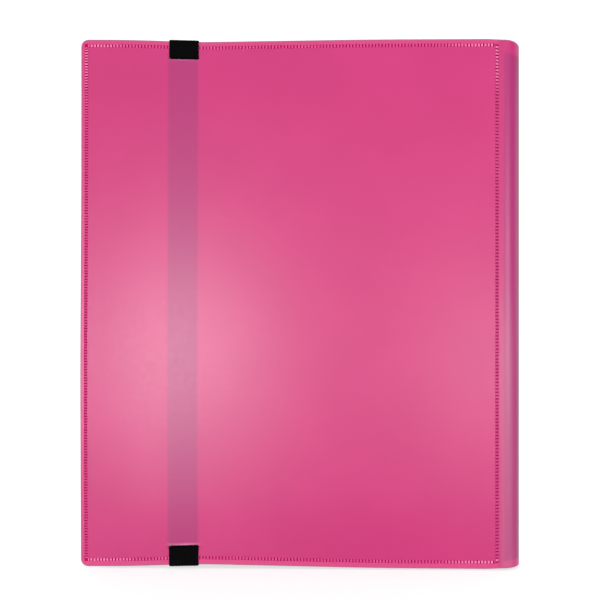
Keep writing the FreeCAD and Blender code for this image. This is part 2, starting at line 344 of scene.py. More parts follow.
def weld_cell(sheet, depth, sink, centre, along, pitch, plain_ends):
    """One step of the seam: a sunk bar across it, and half a bead at each end that isn't plain."""

    def at(a, c, down=0.0):
        u = centre[0] + a * along[0] - c * along[1]
        z = centre[1] + a * along[1] + c * along[0]
        return (u, z, depth + sink * down)

    half, reach, slim = pitch / 2, BAR_HALF_LENGTH, BAR_HALF_WIDTH
    for end, plain in zip((-1, 1), plain_ends):
        edge = [
            at(end * half, -SEAM_HALF),
            at(end * half, -BEAD_HALF_LENGTH, -BEAD_RAISE),
            at(end * half, BEAD_HALF_LENGTH, -BEAD_RAISE),
            at(end * half, SEAM_HALF),
        ]
        rim = [at(end * slim, -reach), at(end * slim, reach)]
        if plain:
            sheet.face([edge[0], edge[3], rim[1], rim[0]])
        else:
            sheet.face([edge[0], edge[1], rim[0]], BEAD_END)
            sheet.face([edge[1], edge[2], rim[1], rim[0]], BEAD)
            sheet.face([edge[2], edge[3], rim[1]], BEAD_END)
    for way in (-1, 1):
        side = way * SEAM_HALF
        sheet.face([at(-half, side), at(half, side), at(slim, way * reach), at(-slim, way * reach)])
    signs = ((-1, -1), (1, -1), (1, 1), (-1, 1))
    rim = [at(a * slim, c * reach) for a, c in signs]
    floor_slim, floor_reach = slim * BAR_FLOOR_WIDTH_SHARE, reach * BAR_FLOOR_LENGTH_SHARE
    floor = [at(a * floor_slim, c * floor_reach, BAR_DEPTH) for a, c in signs]
    sheet.face(floor, GROOVE)
    for i in range(4):
        sheet.face([rim[i - 1], rim[i], floor[i], floor[i - 1]], GROOVE)


def weld_run(sheet, depth, sink, breaks, across_at, along, plain_ends):
    """A straight run of the seam, with one cell between each two breaks."""
    last = len(breaks) - 2
    for i, (a, b) in enumerate(zip(breaks, breaks[1:])):
        middle = (a + b) / 2
        centre = (middle, across_at) if along[0] else (across_at, middle)
        plain = (plain_ends[0] and i == 0, plain_ends[1] and i == last)
        weld_cell(sheet, depth, sink, centre, along, b - a, plain)


def weld_corner(sheet, depth, sink, seam_z, way):
    """The turn of the seam at a fore corner. way is 1 at the top and -1 at the foot."""
    raised = depth - sink * BEAD_RAISE
    left, right = SEAM_FORE - SEAM_HALF, SEAM_FORE + SEAM_HALF
    near, far = seam_z - way * SEAM_HALF, seam_z + way * SEAM_HALF
    turn = [
        (left, far, depth),
        (right, far, depth),
        (right, seam_z + way * BEAD_HALF_LENGTH, raised),
        (right, seam_z - way * BEAD_HALF_LENGTH, raised),
        (right, near, depth),
        (SEAM_FORE + BEAD_HALF_LENGTH, near, raised),
        (SEAM_FORE - BEAD_HALF_LENGTH, near, raised),
        (left, near, depth),
    ]
    sheet.face(turn, GROOVE)


def weld_ring(sheet, depth, sink):
    """The whole seam. Returns its outer and inner sides as lists of points: foot, spine, top, fore."""
    w = SEAM_HALF
    width = SEAM_SPINE - SEAM_FORE - 2 * w
    height = SEAM_TOP - SEAM_FOOT - 2 * w
    across = lines(SEAM_FORE + w, SEAM_SPINE - w, width / (FIELD_COLUMNS * BARS_PER_COLUMN))
    fore = lines(SEAM_FOOT + w, SEAM_TOP - w, height / (FIELD_ROWS * FORE_BARS_PER_ROW))
    spine = lines(SEAM_FOOT + w, SEAM_TOP - w, height / (FIELD_ROWS * SPINE_BARS_PER_ROW))
    spine_full = [SEAM_FOOT - w, *spine, SEAM_TOP + w]
    for seam_z in (SEAM_FOOT, SEAM_TOP):
        weld_run(sheet, depth, sink, across, seam_z, (1, 0), (False, True))
    weld_run(sheet, depth, sink, fore, SEAM_FORE, (0, 1), (False, False))
    weld_run(sheet, depth, sink, spine_full, SEAM_SPINE, (0, 1), (True, True))
    weld_corner(sheet, depth, sink, SEAM_TOP, 1)
    weld_corner(sheet, depth, sink, SEAM_FOOT, -1)
    across_full = [SEAM_FORE - w, *across, SEAM_SPINE + w]
    fore_full = [SEAM_FOOT - w, *fore, SEAM_TOP + w]
    outer = [
        [(u, SEAM_FOOT - w, depth) for u in across_full],
        [(SEAM_SPINE + w, z, depth) for z in spine_full],
        [(u, SEAM_TOP + w, depth) for u in across_full],
        [(SEAM_FORE - w, z, depth) for z in fore_full],
    ]
    inner = [
        [(u, SEAM_FOOT + w, depth) for u in across],
        [(SEAM_SPINE - w, z, depth) for z in spine],
        [(u, SEAM_TOP - w, depth) for u in across],
        [(SEAM_FORE + w, z, depth) for z in fore],
    ]
    return outer, inner


def outline_sides(end_u, inset, depth):
    """The foot, spine, top and fore sides of a sheet's outline, inset a little, with round fore corners."""
    foot, top = FOOT_Z + inset, TOP_Z - inset
    radius = CORNER - inset
    straight_u = lines(FORE_X + CORNER, end_u, FIELD_STEP)
    straight_z = lines(FOOT_Z + CORNER, TOP_Z - CORNER, FIELD_STEP)

    def arc(centre_z, way, degrees):
        found = []
        for angle in degrees:
            a = math.radians(angle)
            u = FORE_X + CORNER - radius * math.sin(a)
            found.append((u, centre_z + way * radius * math.cos(a), depth))
        return found

    first_half, second_half = (0, 15, 30, 45), (45, 60, 75, 90)
    low_z, high_z = FOOT_Z + CORNER, TOP_Z - CORNER
    foot_side = arc(low_z, -1, reversed(first_half)) + [(u, foot, depth) for u in straight_u[1:]]
    top_side = arc(high_z, 1, reversed(first_half)) + [(u, top, depth) for u in straight_u[1:]]
    fore_side = arc(low_z, -1, second_half) + [(FORE_X + inset, z, depth) for z in straight_z[1:-1]]
    fore_side += arc(high_z, 1, reversed(second_half))
    end_side = [(end_u, z, depth) for z in (foot, *straight_z, top)]
    return [foot_side, end_side, top_side, fore_side]


def stitch(sheet, sides, other_sides, kind):
    """Fills the gap between two four-sided loops. The second's points are tied to the first's nearest."""
    for side, other in zip(sides, other_sides):
        ties = []
        for p in other:
            ties.append(min(range(len(side)), key=lambda i: math.dist(side[i][:2], p[:2])))
        ties[0], ties[-1] = 0, len(side) - 1
        for i in range(len(other) - 1):
            between = side[ties[i] : ties[i + 1] + 1]
            sheet.face([other[i + 1], other[i], *between], kind)


def grid(sheet, us, zs, depth, kind, skip=()):
    """A grid of faces, with gaps at the skipped slits."""
    for a, b in zip(us, us[1:]):
        for low, high in zip(zs, zs[1:]):
            at_band = abs((a + b) / 2 - BAND_X) < SLIT_HALF_WIDTH
            at_slit = any(abs((low + high) / 2 - z) < SLIT_HALF_HEIGHT for z in skip)
            if not (at_band and at_slit):
                sheet.face([(a, low, depth), (b, low, depth), (b, high, depth), (a, high, depth)], kind)
    return [
        [(u, zs[0], depth) for u in us],
        [(us[-1], z, depth) for z in zs],
        [(u, zs[-1], depth) for u in us],
        [(us[0], z, depth) for z in zs],
    ]


def slit_walls(sheet, us, slit_z, thickness):
    """The cut faces inside one slit."""
    left, right = BAND_X - SLIT_HALF_WIDTH, BAND_X + SLIT_HALF_WIDTH
    low, high = slit_z - SLIT_HALF_HEIGHT, slit_z + SLIT_HALF_HEIGHT
    slack = MM / 100
    across = [u for u in us if left - slack < u < right + slack]
    for a, b in zip(across, across[1:]):
        for z in (low, high):
            sheet.face([(a, z, 0), (b, z, 0), (b, z, thickness), (a, z, thickness)])
    for u in (left, right):
        sheet.face([(u, low, 0), (u, high, 0), (u, high, thickness), (u, low, thickness)])


def slit_lip(u, z):
    """How far the sheet stands up beside a slit."""
    aside = max(0.0, abs(u - BAND_X) - SLIT_HALF_WIDTH)
    beyond = min(abs(abs(z - slit_z) - SLIT_HALF_HEIGHT) for slit_z in (SLIT_FOOT, SLIT_TOP))
    return LIP * max(0.0, 1 - math.hypot(aside, beyond) / LIP_REACH)


def edge_rows(thickness):
    """(inset, depth) steps round the sheet's cut edge, from just inside it on one face to the other."""
    rows = []
    for degrees in range(0, 181, 45):
        a = math.radians(degrees)
        inset = thickness * EDGE_INSET_SHARE * (1 - math.sin(a))
        rows.append((inset, thickness / 2 * (1 - math.cos(a))))
    inside = rows[0][0] + EDGE_SUPPORT
    return [(inside, 0.0), *rows, (inside, thickness)]


def outline_chain(end_u, columns, inset, depth):
    """The outline as one list, from the end of the top edge round the fore edge to the foot's end."""
    foot, _, top, fore = outline_sides(end_u, inset, depth)
    beyond_top = [(u, TOP_Z - inset, depth) for u in reversed(columns[1:])]
    beyond_foot = [(u, FOOT_Z + inset, depth) for u in columns[1:]]
    return beyond_top + top[::-1] + fore[::-1][1:] + foot[1:] + beyond_foot


def join_chains(sheet, chain, deeper_chain):
    """A strip of faces from one list of points to the matching list on another depth."""
    for i in range(len(chain) - 1):
        sheet.face([chain[i], chain[i + 1], deeper_chain[i + 1], deeper_chain[i]], BORDER)


def field_lines(slits):
    """Grid lines of the sheet inside its seam, with lines along the slits and round their lips."""
    slit_us, slit_zs = [], []
    for beyond in (0.0, LIP_REACH, 2 * LIP_REACH) if slits else ():
        slit_us += [BAND_X + way * (SLIT_HALF_WIDTH + beyond) for way in (-1, 1)]
        slit_zs += [slit_z + way * (SLIT_HALF_HEIGHT + beyond) for way in (-1, 1) for slit_z in slits]
    margin = SEAM_HALF + FIELD_MARGIN
    us = lines(SEAM_FORE + margin, SEAM_SPINE - margin, FIELD_STEP, slit_us)
    zs = lines(SEAM_FOOT + margin, SEAM_TOP - margin, FIELD_STEP, slit_zs)
    return us, zs


def outer_sheet(name, side, slits, materials):
    """Half of the cover's outer sheet: one cover, its bend and half of the spine."""
    sheet = Sheet(side, lambda u, z: -slit_lip(u, z) if slits else 0.0)
    columns = lines(BEND_X, PATTERN_END, BEND_STEP, [BEND_X + BEND_LENGTH])
    us, zs = field_lines(slits)
    rows = edge_rows(SHEET)
    edge_inset = rows[0][0]
    outline = outline_sides(BEND_X, edge_inset, 0.0)
    outer_ring, inner_ring = weld_ring(sheet, 0.0, 1)
    stitch(sheet, outer_ring, outline, BORDER)
    stitch(sheet, inner_ring, grid(sheet, us, zs, 0.0, FIELD, slits), FIELD)
    deep_outline = outline_sides(BEND_X, edge_inset, SHEET)
    stitch(sheet, deep_outline, grid(sheet, us, zs, SHEET, FIELD, slits), BORDER)
    strip_zs = [z for _, z, _ in outline[1]]
    for depth in (0.0, SHEET):
        grid(sheet, columns, strip_zs, depth, BORDER)
    chains = [outline_chain(BEND_X, columns, inset, depth) for inset, depth in rows]
    for chain, deeper_chain in zip(chains, chains[1:]):
        join_chains(sheet, chain, deeper_chain)
    join_chains(sheet, *([(PATTERN_END, z, depth) for z in strip_zs] for depth in (0.0, SHEET)))
    for end in (0, -1):
        sheet.face([chain[end] for chain in chains], BORDER)
    for slit_z in slits:
        slit_walls(sheet, us, slit_z, SHEET)
    return sheet.finish(name, materials)


def lining_sheet(name, side, tray, materials):
    """The inner lining of one cover, welded along the same seam. Its tray leaves room for the band."""

    def deeper(u, z):
        inside = min(u - FORE_X, LINING_END - u, z - FOOT_Z, TOP_Z - z)
        return tray * smooth((inside - TRAY_RIM) / TRAY_RAMP)

    def tray_lines(low, high):
        steps = [TRAY_RIM + TRAY_RAMP * i / 4 for i in range(5)]
        return [low + step for step in steps] + [high - step for step in steps]

    sheet = Sheet(side, deeper)
    start, end = SHEET, SHEET + LINING
    first_u, last_u = FORE_X + TRAY_RIM - MM, LINING_END - TRAY_RIM + MM
    us = lines(first_u, last_u, FIELD_STEP, tray_lines(FORE_X, LINING_END))
    zs = lines(FOOT_Z + TRAY_RIM, TOP_Z - TRAY_RIM, FIELD_STEP, tray_lines(FOOT_Z, TOP_Z))
    outer_ring, inner_ring = weld_ring(sheet, end, -1)
    stitch(sheet, outer_ring, outline_sides(LINING_END, 0.0, end), BORDER)
    stitch(sheet, inner_ring, grid(sheet, us, zs, end, FIELD), FIELD)
    stitch(sheet, outline_sides(LINING_END, 0.0, start), grid(sheet, us, zs, start, FIELD), BORDER)
    join_chains(sheet, *(outline_chain(LINING_END, [LINING_END], 0.0, depth) for depth in (start, end)))
    join_chains(sheet, *(outline_sides(LINING_END, 0.0, depth)[1] for depth in (start, end)))
    return sheet.finish(name, materials)


def band_section():
    """The band's cross-section as (across, out): lengthwise ribs on both faces, rounded sides."""
    count = RIBS * SAMPLES_PER_RIB
    top = []
    for i in range(count + 1):
        share = i / count
        side = abs(2 * share - 1)
        rib = 1 - RIB_DEPTH * (0.5 + 0.5 * math.cos(2 * math.pi * RIBS * share))
        rounding = math.sqrt(max(SIDE_LEAST, 1 - side**SIDE_POWER))
        top.append((BAND_WIDTH * (share - 0.5), BAND / 2 * rib * rounding))
    return top + [(c, -n) for c, n in reversed(top)]


def fold(centre_y, centre_z, start):
    """A quarter turn of the band round an edge of a cover, from a start angle in degrees."""
    found = []
    for i in range(FOLD_STEPS + 1):
        a = math.radians(start - 90 * i / FOLD_STEPS)
        found.append((centre_y + BAND / 2 * math.cos(a), centre_z + BAND / 2 * math.sin(a)))
    return found


def straight(y, start_z, end_z):
    step = math.copysign(RUN_STEP, end_z - start_z)
    count = max(2, round((end_z - start_z) / step))
    return [(y, start_z + (end_z - start_z) * i / count) for i in range(count + 1)]


def through_slit(slit_z, start_y, end_y):
    """The band's way through a slit, as a smooth step in y."""
    found = []
    for i in range(1, DIVE_STEPS):
        share = i / DIVE_STEPS
        y = start_y + (end_y - start_y) * smooth(share)
        found.append((y, slit_z + DIVE_REACH * (2 * share - 1)))
    return found


def patch_width(beyond):
    """Share by which the band is wider at a distance outward from a slit. Its corners there are round."""
    share = min(1.0, max(0.0, PATCH_CORNER_START - PATCH_CORNER_SLOPE * beyond / DIVE_REACH))
    if beyond > -DIVE_REACH:
        corner = 1 - math.sqrt(1 - share**2)
    else:
        corner = smooth(1 + (beyond + DIVE_REACH) / PATCH_CORNER_FADE)
    return PATCH_SPREAD * bell(beyond, PATCH_SPREAD_REACH) - PATCH_NARROWING * corner


def band_mesh(name, path, dives, materials):
    """Sweeps the band's section along a path of (y, z). A dive is a slit's z and the way out, 1 or -1."""
    section = band_section()
    built = bmesh.new()
    pattern = built.verts.layers.float_vector.new("pattern")
    rows, travelled = [], 0.0
    for i, (y, z) in enumerate(path):
        before, after = path[max(0, i - 1)], path[min(len(path) - 1, i + 1)]
        dy, dz = after[0] - before[0], after[1] - before[1]
        size = math.hypot(dy, dz)
        out_y, out_z = -dz / size, dy / size
        travelled += math.dist(before, (y, z))
        widen = 1 + sum(patch_width(way * (z - dive)) for dive, way in dives)
        row = []
        for across, out in section:
            vert = built.verts.new(settle(BAND_X + across * widen, y + out_y * out, z + out_z * out))
            vert[pattern] = (across, travelled, out)
            row.append(vert)
        rows.append(row)
    for row, next_row in zip(rows, rows[1:]):
        for i in range(len(section)):
            built.faces.new([row[i - 1], row[i], next_row[i], next_row[i - 1]])
    built.faces.new(rows[0])
    built.faces.new(rows[-1])
    bmesh.ops.recalc_face_normals(built, faces=built.faces)
    return finish_mesh(built, name, materials)


def fixed_run_path():
    """From the foot edge in through a slit, up behind the sheet and out through the other to the top."""
    out_y = -(HALF_DEPTH + BAND / 2)
    in_y = -(HALF_DEPTH - SHEET - BAND / 2)
    foot, top = SLIT_FOOT - DIVE_SHIFT, SLIT_TOP + DIVE_SHIFT
    return (
        straight(out_y, FOOT_Z, foot - DIVE_REACH)
        + through_slit(foot, out_y, in_y)
        + straight(in_y, foot + DIVE_REACH, top - DIVE_REACH)
        + through_slit(top, in_y, out_y)
        + straight(out_y, top + DIVE_REACH, TOP_Z)
    )


def loop_path():
    """From the back panel's top edge over the top, down the front and back under the foot."""
    out_y = HALF_DEPTH + BAND / 2
    ys = [-HALF_DEPTH + 2 * HALF_DEPTH * i / ACROSS_STEPS for i in range(1, ACROSS_STEPS)]
    return (
        fold(-HALF_DEPTH, TOP_Z, 180)
        + [(y, TOP_Z + BAND / 2) for y in ys]
        + fold(HALF_DEPTH, TOP_Z, 90)
        + straight(out_y, TOP_Z, FOOT_Z)[1:-1]
        + fold(HALF_DEPTH, FOOT_Z, 0)
        + [(-y, FOOT_Z - BAND / 2) for y in ys]
        + fold(-HALF_DEPTH, FOOT_Z, -90)
    )


class Looks:
    """A node material being made."""

    def __init__(self, name):
        self.material = bpy.data.materials.new(name)
        self.material.use_nodes = True
        self.tree = self.material.node_tree
        self.shader = self.tree.nodes["Principled BSDF"]

    def node(self, kind, settings=None, inputs=None):
        made = self.tree.nodes.new(kind)
        for key, value in (settings or {}).items():
            setattr(made, key, value)
        for key, value in (inputs or {}).items():
            self.set(made.inputs[key], value)
        return made

    def set(self, socket, value):
        if isinstance(value, bpy.types.NodeSocket):
            self.tree.links.new(value, socket)
        else:
            socket.default_value = value

    def maths(self, operation, a, b=0.0):
        return self.node("ShaderNodeMath", {"operation": operation}, {0: a, 1: b}).outputs[0]

    def distance(self, a, b):
        return self.maths("ABSOLUTE", self.maths("SUBTRACT", a, b))

    def ramp(self, value, start, end, low=0.0, high=1.0):
        """value mapped smoothly from start..end to low..high."""
        inputs = {"Value": value, "From Min": start, "From Max": end, "To Min": low, "To Max": high}
        made = self.node("ShaderNodeMapRange", {"interpolation_type": "SMOOTHSTEP"}, inputs)
        return made.outputs["Result"]

    def mix(self, share, a, b):
        """Colour a going over into colour b. Each is a socket, or red, green and blue."""
        made = self.node("ShaderNodeMix", {"data_type": "RGBA"})
        self.set(made.inputs["Factor"], share)
        for key, value in (("A", a), ("B", b)):
            self.set(made.inputs[key], (*value, 1.0) if isinstance(value, tuple) else value)
        return made.outputs["Result"]

    def noise(self, place, per_mm, detail=2.0, rough=0.5):
        """Even noise of 0 to 1, with so many bumps per mm."""
        inputs = {"Vector": place, "Scale": per_mm / MM, "Detail": detail, "Roughness": rough}
        return self.node("ShaderNodeTexNoise", None, inputs).outputs["Fac"]

    def place(self):
        return self.node("ShaderNodeTexCoord").outputs["Object"]

    def pattern(self):
        """Pattern coordinates, which stay put as a sheet or the band bends: the vector and its parts."""
        place = self.node("ShaderNodeAttribute", {"attribute_name": "pattern"}).outputs["Vector"]
        parts = self.node("ShaderNodeSeparateXYZ", None, {0: place}).outputs
        return place, parts[0], parts[1], parts[2]

    def bump(self, height, distance, strength):
        inputs = {"Height": height, "Distance": distance, "Strength": strength}
        return self.node("ShaderNodeBump", None, inputs).outputs["Normal"]

    def surface(self, **inputs):
        for key, value in inputs.items():
            self.set(self.shader.inputs[key.replace("_", " ")], value)
        return self.material

    def use_mix(self, share, first, second):
        """Gives the material a mix of two shaders in place of its own."""
        mixed = self.node("ShaderNodeMixShader", None, {0: share, 1: first, 2: second})
        self.tree.links.new(mixed.outputs[0], self.tree.nodes["Material Output"].inputs["Surface"])
        return self.material


def clouded(looks, place, grain, tone):
    """A sheet's colour, a little uneven from place to place and from grain to grain."""
    deep = tuple(c * 0.97 for c in tone)
    pale = tuple(c * 1.03 + 0.002 for c in tone)
    cloud = looks.noise(place, per_mm=0.018, detail=3.0)
    base = looks.mix(looks.ramp(cloud, 0.3, 0.7), deep, pale)
    return looks.mix(looks.ramp(grain, 0.35, 0.65, 0.0, 0.25), base, pale)


def band_behind(looks, u, z):
    """1 where the band lies close behind the sheet, with soft sides."""
    from_band = looks.distance(u, BAND_X + BAND_TINT_SHIFT)
    in_width = looks.ramp(from_band, BAND_WIDTH / 2 + 1.3 * MM, BAND_WIDTH / 2 - 1.0 * MM)
    half_run = (SLIT_TOP - SLIT_FOOT) / 2
    from_middle = looks.distance(z, (SLIT_FOOT + SLIT_TOP) / 2)
    between_slits = looks.ramp(from_middle, half_run + MM, half_run - MM)
    return looks.maths("MULTIPLY", in_width, between_slits)


def tint_over_block(looks, base, u, z):
    """The root block showing through behind the bend, painted shade for the dark gap beyond it, and the
    spine's face next to them.
    """
    below_top = looks.ramp(z, block_high.z + 3.0 * MM, block_high.z)
    above_foot = looks.ramp(z, block_low.z - 1.5 * MM, block_low.z + 0.8 * MM)
    in_height = looks.maths("MULTIPLY", below_top, above_foot)
    bend_end = BEND_X + BEND_LENGTH
    for soft_start, soft_end, tone in (
        (block_low.x - 3.2 * MM, block_low.x - 1.4 * MM, OVER_BLOCK_TONE),
        # Painted shade where the bend turns away beyond the block's slab
        (SLAB_SEEN_TO, SLAB_SEEN_TO + 1.5 * MM, BEYOND_BLOCK_SHADE_TONE),
        (bend_end - MM, bend_end + 2 * MM, SPINE_FACE_TONE),
    ):
        share = looks.maths("MULTIPLY", looks.ramp(u, soft_start, soft_end), in_height)
        base = looks.mix(share, base, tone)
    return base


def painted_bend_highlight(looks, u, z):
    """Painted highlight on the sheet between the seam and the bend, growing stronger towards the foot."""
    past_seam = looks.ramp(u, SEAM_SPINE, SEAM_SPINE + 5 * MM)
    before_bend = looks.ramp(u, SLAB_SEEN_TO + 0.5 * MM, SLAB_SEEN_TO - 3 * MM)
    towards_foot = looks.ramp(z, MIDDLE_Z + 25 * MM, MIDDLE_Z - 40 * MM, 0.0, 0.2)
    return looks.maths("MULTIPLY", looks.maths("MULTIPLY", past_seam, before_bend), towards_foot)


def rim_share(looks, u, z, depth):
    """1 along the sheet's outline and on its cut edge, falling to 0 a little way in."""
    squares = []
    from_foot = looks.maths("SUBTRACT", z, FOOT_Z)
    from_top = looks.maths("SUBTRACT", TOP_Z, z)
    for inward in (looks.maths("SUBTRACT", u, FORE_X), looks.maths("MINIMUM", from_foot, from_top)):
        short = looks.maths("MAXIMUM", looks.maths("SUBTRACT", CORNER, inward), 0.0)
        squares.append(looks.maths("MULTIPLY", short, short))
    from_centre = looks.maths("SQRT", looks.maths("ADD", *squares))
    near_outline = looks.ramp(from_centre, CORNER - 1.3 * MM, CORNER - 0.4 * MM)
    return looks.maths("MAXIMUM", near_outline, looks.ramp(depth, 0.08 * MM, 0.3 * MM))


def frosted(name, tone, over_band, past_seam):
    """Frosted pink sheet. What lies close behind it shows through as a soft tint. Beside the spine it also
    carries painted shade and a painted highlight.

    over_band says whether the band lies behind it. past_seam says whether it reaches past the spine's seam,
    where no lining is welded to it and its colour changes.
    """
    looks = Looks(name)
    place, u, z, depth = looks.pattern()
    grain = looks.noise(place, per_mm=2.6, detail=3.0, rough=0.7)
    mottle = looks.noise(place, per_mm=0.35)
    base = clouded(looks, place, grain, tone)
    if past_seam:
        base = looks.mix(looks.ramp(u, SEAM_SPINE, SEAM_SPINE + 1.5 * MM), base, SINGLE_TONE)
    if over_band:
        tint = tuple(c * factor for c, factor in zip(tone, BAND_TINT))
        base = looks.mix(band_behind(looks, u, z), base, tint)
    base = tint_over_block(looks, base, u, z)
    # Painted highlight between the spine's seam and the bend, stronger towards the foot
    base = looks.mix(painted_bend_highlight(looks, u, z), base, BEND_HIGHLIGHT_TONE)
    base = looks.mix(rim_share(looks, u, z, depth), base, RIM_TONE)
    rough = looks.ramp(mottle, 0.25, 0.75, 0.32, 0.35)
    normal = looks.bump(grain, distance=0.01 * MM, strength=0.5)
    return looks.surface(Base_Color=base, Roughness=rough, Normal=normal, Specular_IOR_Level=0.4)


def weld_painted_light_share(looks, place, spots, u, z):
    """Share of the weld's second tone, which is painted light: uneven along the seam, and more of it near
    the corners of the foot row and of the upper half.
    """
    half_width, half_height = (SEAM_SPINE - SEAM_FORE) / 2, (SEAM_TOP - SEAM_FOOT) / 2
    from_side = looks.distance(u, (SEAM_FORE + SEAM_SPINE) / 2)
    from_middle = looks.distance(z, (SEAM_FOOT + SEAM_TOP) / 2)
    outward = looks.maths("ADD", from_side, from_middle)
    to_corner = looks.maths("SUBTRACT", half_width + half_height, outward)
    near_corner = looks.ramp(to_corner, 44 * MM, 10 * MM, 0.0, 0.46)
    in_foot_row = looks.ramp(z, SEAM_FOOT + 2.4 * MM, SEAM_FOOT + 1.2 * MM)
    upper = looks.ramp(z, MIDDLE_Z, MIDDLE_Z + 20 * MM)
    near_corner = looks.maths("MULTIPLY", near_corner, looks.maths("MAXIMUM", in_foot_row, upper))
    long_waves = looks.noise(place, per_mm=0.03)
    stretches = looks.maths("ADD", long_waves, looks.maths("MULTIPLY", spots, 0.3))
    return looks.ramp(looks.maths("ADD", stretches, near_corner), 0.66, 1.12)


def on_seam_turn(looks, u, z):
    """1 on the seam's turns at the fore corners."""
    from_fore = looks.distance(u, SEAM_FORE)
    from_middle = looks.distance(z, (SEAM_FOOT + SEAM_TOP) / 2)
    from_row = looks.distance(from_middle, (SEAM_TOP - SEAM_FOOT) / 2)
    return looks.ramp(looks.maths("MAXIMUM", from_fore, from_row), SEAM_HALF + 0.2 * MM, SEAM_HALF)


def weld_plastic(name, tones, roughness, shine):
    """Melted plastic of the weld, from its usual tone to its second tone: a painted highlight on the beads
    and painted shade in the grooves, strongest near the corners.
    """
    looks = Looks(name)
    place, u, z, _ = looks.pattern()
    spots = looks.noise(place, per_mm=1.2)
    # The second tone is painted light: highlight on the beads, shade in the grooves
    base = looks.mix(weld_painted_light_share(looks, place, spots, u, z), *tones)
    pressed_deeper = looks.ramp(u, SEAM_SPINE - 2 * MM, SEAM_SPINE - MM, 0.0, 0.2)
    base = looks.mix(pressed_deeper, base, (0.0, 0.0, 0.0))
    base = looks.mix(on_seam_turn(looks, u, z), base, SEAM_TURN_TONE)
    rough = looks.ramp(spots, 0.3, 0.7, roughness, roughness + 0.1)
    normal = looks.bump(spots, distance=0.03 * MM, strength=0.4)
    return looks.surface(Base_Color=base, Roughness=rough, Normal=normal, Specular_IOR_Level=shine)


def woven_band():
    """Black woven elastic: threads crossing the lengthwise ribs."""
    looks = Looks("woven_elastic")
    place, across, along, _ = looks.pattern()
    rib_turn = looks.maths("MULTIPLY", across, 2 * math.pi * RIBS / BAND_WIDTH)
    pick_turn = looks.maths("MULTIPLY", along, 2 * math.pi / PICK)
    threads = looks.maths("MULTIPLY", looks.maths("COSINE", rib_turn), looks.maths("SINE", pick_turn))
    fuzz = looks.noise(place, per_mm=3.0, detail=3.0, rough=0.7)
    height = looks.maths("ADD", looks.maths("MULTIPLY", threads, 0.5), fuzz)
    base = looks.mix(looks.ramp(height, 0.2, 1.1), *BAND_TONES)
    rough = looks.ramp(fuzz, 0.3, 0.7, 0.8, 0.95)
    normal = looks.bump(height, distance=0.12 * MM, strength=0.7)
    return looks.surface(Base_Color=base, Roughness=rough, Normal=normal, Specular_IOR_Level=0.02)


def page_plastic():
    """Black page sheet with a fine embossed grain."""
    looks = Looks("page_black")
    place = looks.place()
    grain = looks.noise(place, per_mm=2.2, detail=3.0, rough=0.6)
    wear = looks.noise(place, per_mm=0.05, detail=4.0)
    base = looks.mix(looks.ramp(wear, 0.3, 0.7), *PAGE_TONES)
    rough = looks.ramp(wear, 0.3, 0.7, 0.42, 0.56)
    normal = looks.bump(grain, distance=0.03 * MM, strength=0.5)
    return looks.surface(Base_Color=base, Roughness=rough, Normal=normal)


def clear_film():
    """Clear pocket film: it lets what is behind it show and catches soft reflections."""
    looks = Looks("clear_film")
    place = looks.place()
    waves = looks.noise(place, per_mm=0.03)
    scuffs = looks.noise(place, per_mm=0.6, detail=4.0, rough=0.7)
    looks.surface(
        Base_Color=looks.mix(waves, *FILM_TONES),
        Roughness=looks.ramp(scuffs, 0.3, 0.8, 0.06, 0.2),
        Normal=looks.bump(waves, distance=2.0 * MM, strength=0.4),
    )
    facing = looks.node("ShaderNodeLayerWeight", None, {"Blend": 0.35}).outputs["Facing"]
    seen = looks.ramp(facing, 0.0, 1.0, 0.035, 0.3)
    clear = looks.node("ShaderNodeBsdfTransparent", None, {"Color": (*CLEAR_TONE, 1.0)})
    return looks.use_mix(seen, clear.outputs[0], looks.shader.outputs[0])


def floor_paper():
    """Pale paper that goes over into the white surround."""
    looks = Looks("floor_paper")
    place = looks.place()
    base = looks.mix(looks.noise(place, per_mm=0.002), *PAPER_TONES)
    looks.surface(Base_Color=base, Roughness=0.9, Specular_IOR_Level=0.1)
    away = looks.node("ShaderNodeVectorMath", {"operation": "LENGTH"}, {0: place}).outputs["Value"]
    glow = looks.node("ShaderNodeEmission", None, {"Color": (*WHITE, 1.0), "Strength": SURROUND})
    glowing = looks.ramp(away, 0.3, 1.2, 0.65, 1.0)
    return looks.use_mix(glowing, looks.shader.outputs[0], glow.outputs[0])


def paint(node, material):
    """Gives a CAD node its material, leaving its mesh as it is."""
    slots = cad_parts[node].material_slots
    if not slots:
        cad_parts[node].data.materials.append(material)
    for slot in slots:
        slot.material = material


def place_area_light(name, place, aim, size, power):
    light = bpy.data.lights.new(name, "AREA")
    light.shape = "DISK"
    light.size = size
    light.energy = power
    lamp = bpy.data.objects.new(name, light)
    lamp.location = place
    lamp.rotation_euler = (Vector(aim) - Vector(place)).to_track_quat("-Z", "Y").to_euler()
    bpy.context.scene.collection.objects.link(lamp)


def light_studio():
    """Soft round lights: three for the back cover, one overhead, and one each for front cover and spine."""
    back_y, front_y = -HALF_DEPTH, HALF_DEPTH
    # Each row is a name, the light's place, the point it is aimed at, its width in metres and its watts
    for row in (
        ("fore_light", (-0.235, -1.02, 0.085), (-0.08, back_y, 0.12), 0.17, 3.6),
        ("spine_light", (0.30, -1.02, 0.068), (0.1, back_y, 0.12), 0.16, 1.5),
        ("overhead_light", (0.0, 0.0, 2.2), (0.0, 0.0, 0.0), 2.0, 14.0),
        ("side_light", (0.80, -0.78, 0.09), (0.12, back_y, 0.12), 0.55, 5.5),
        ("front_cover_light", (-0.55, 1.1, 0.35), (0.0, front_y, 0.15), 0.6, 8.0),
        ("spine_face_light", (1.3, 0.45, 0.35), (SPINE_X, 0.0, 0.15), 0.6, 1.4),
    ):
        place_area_light(*row)
    light_surround()


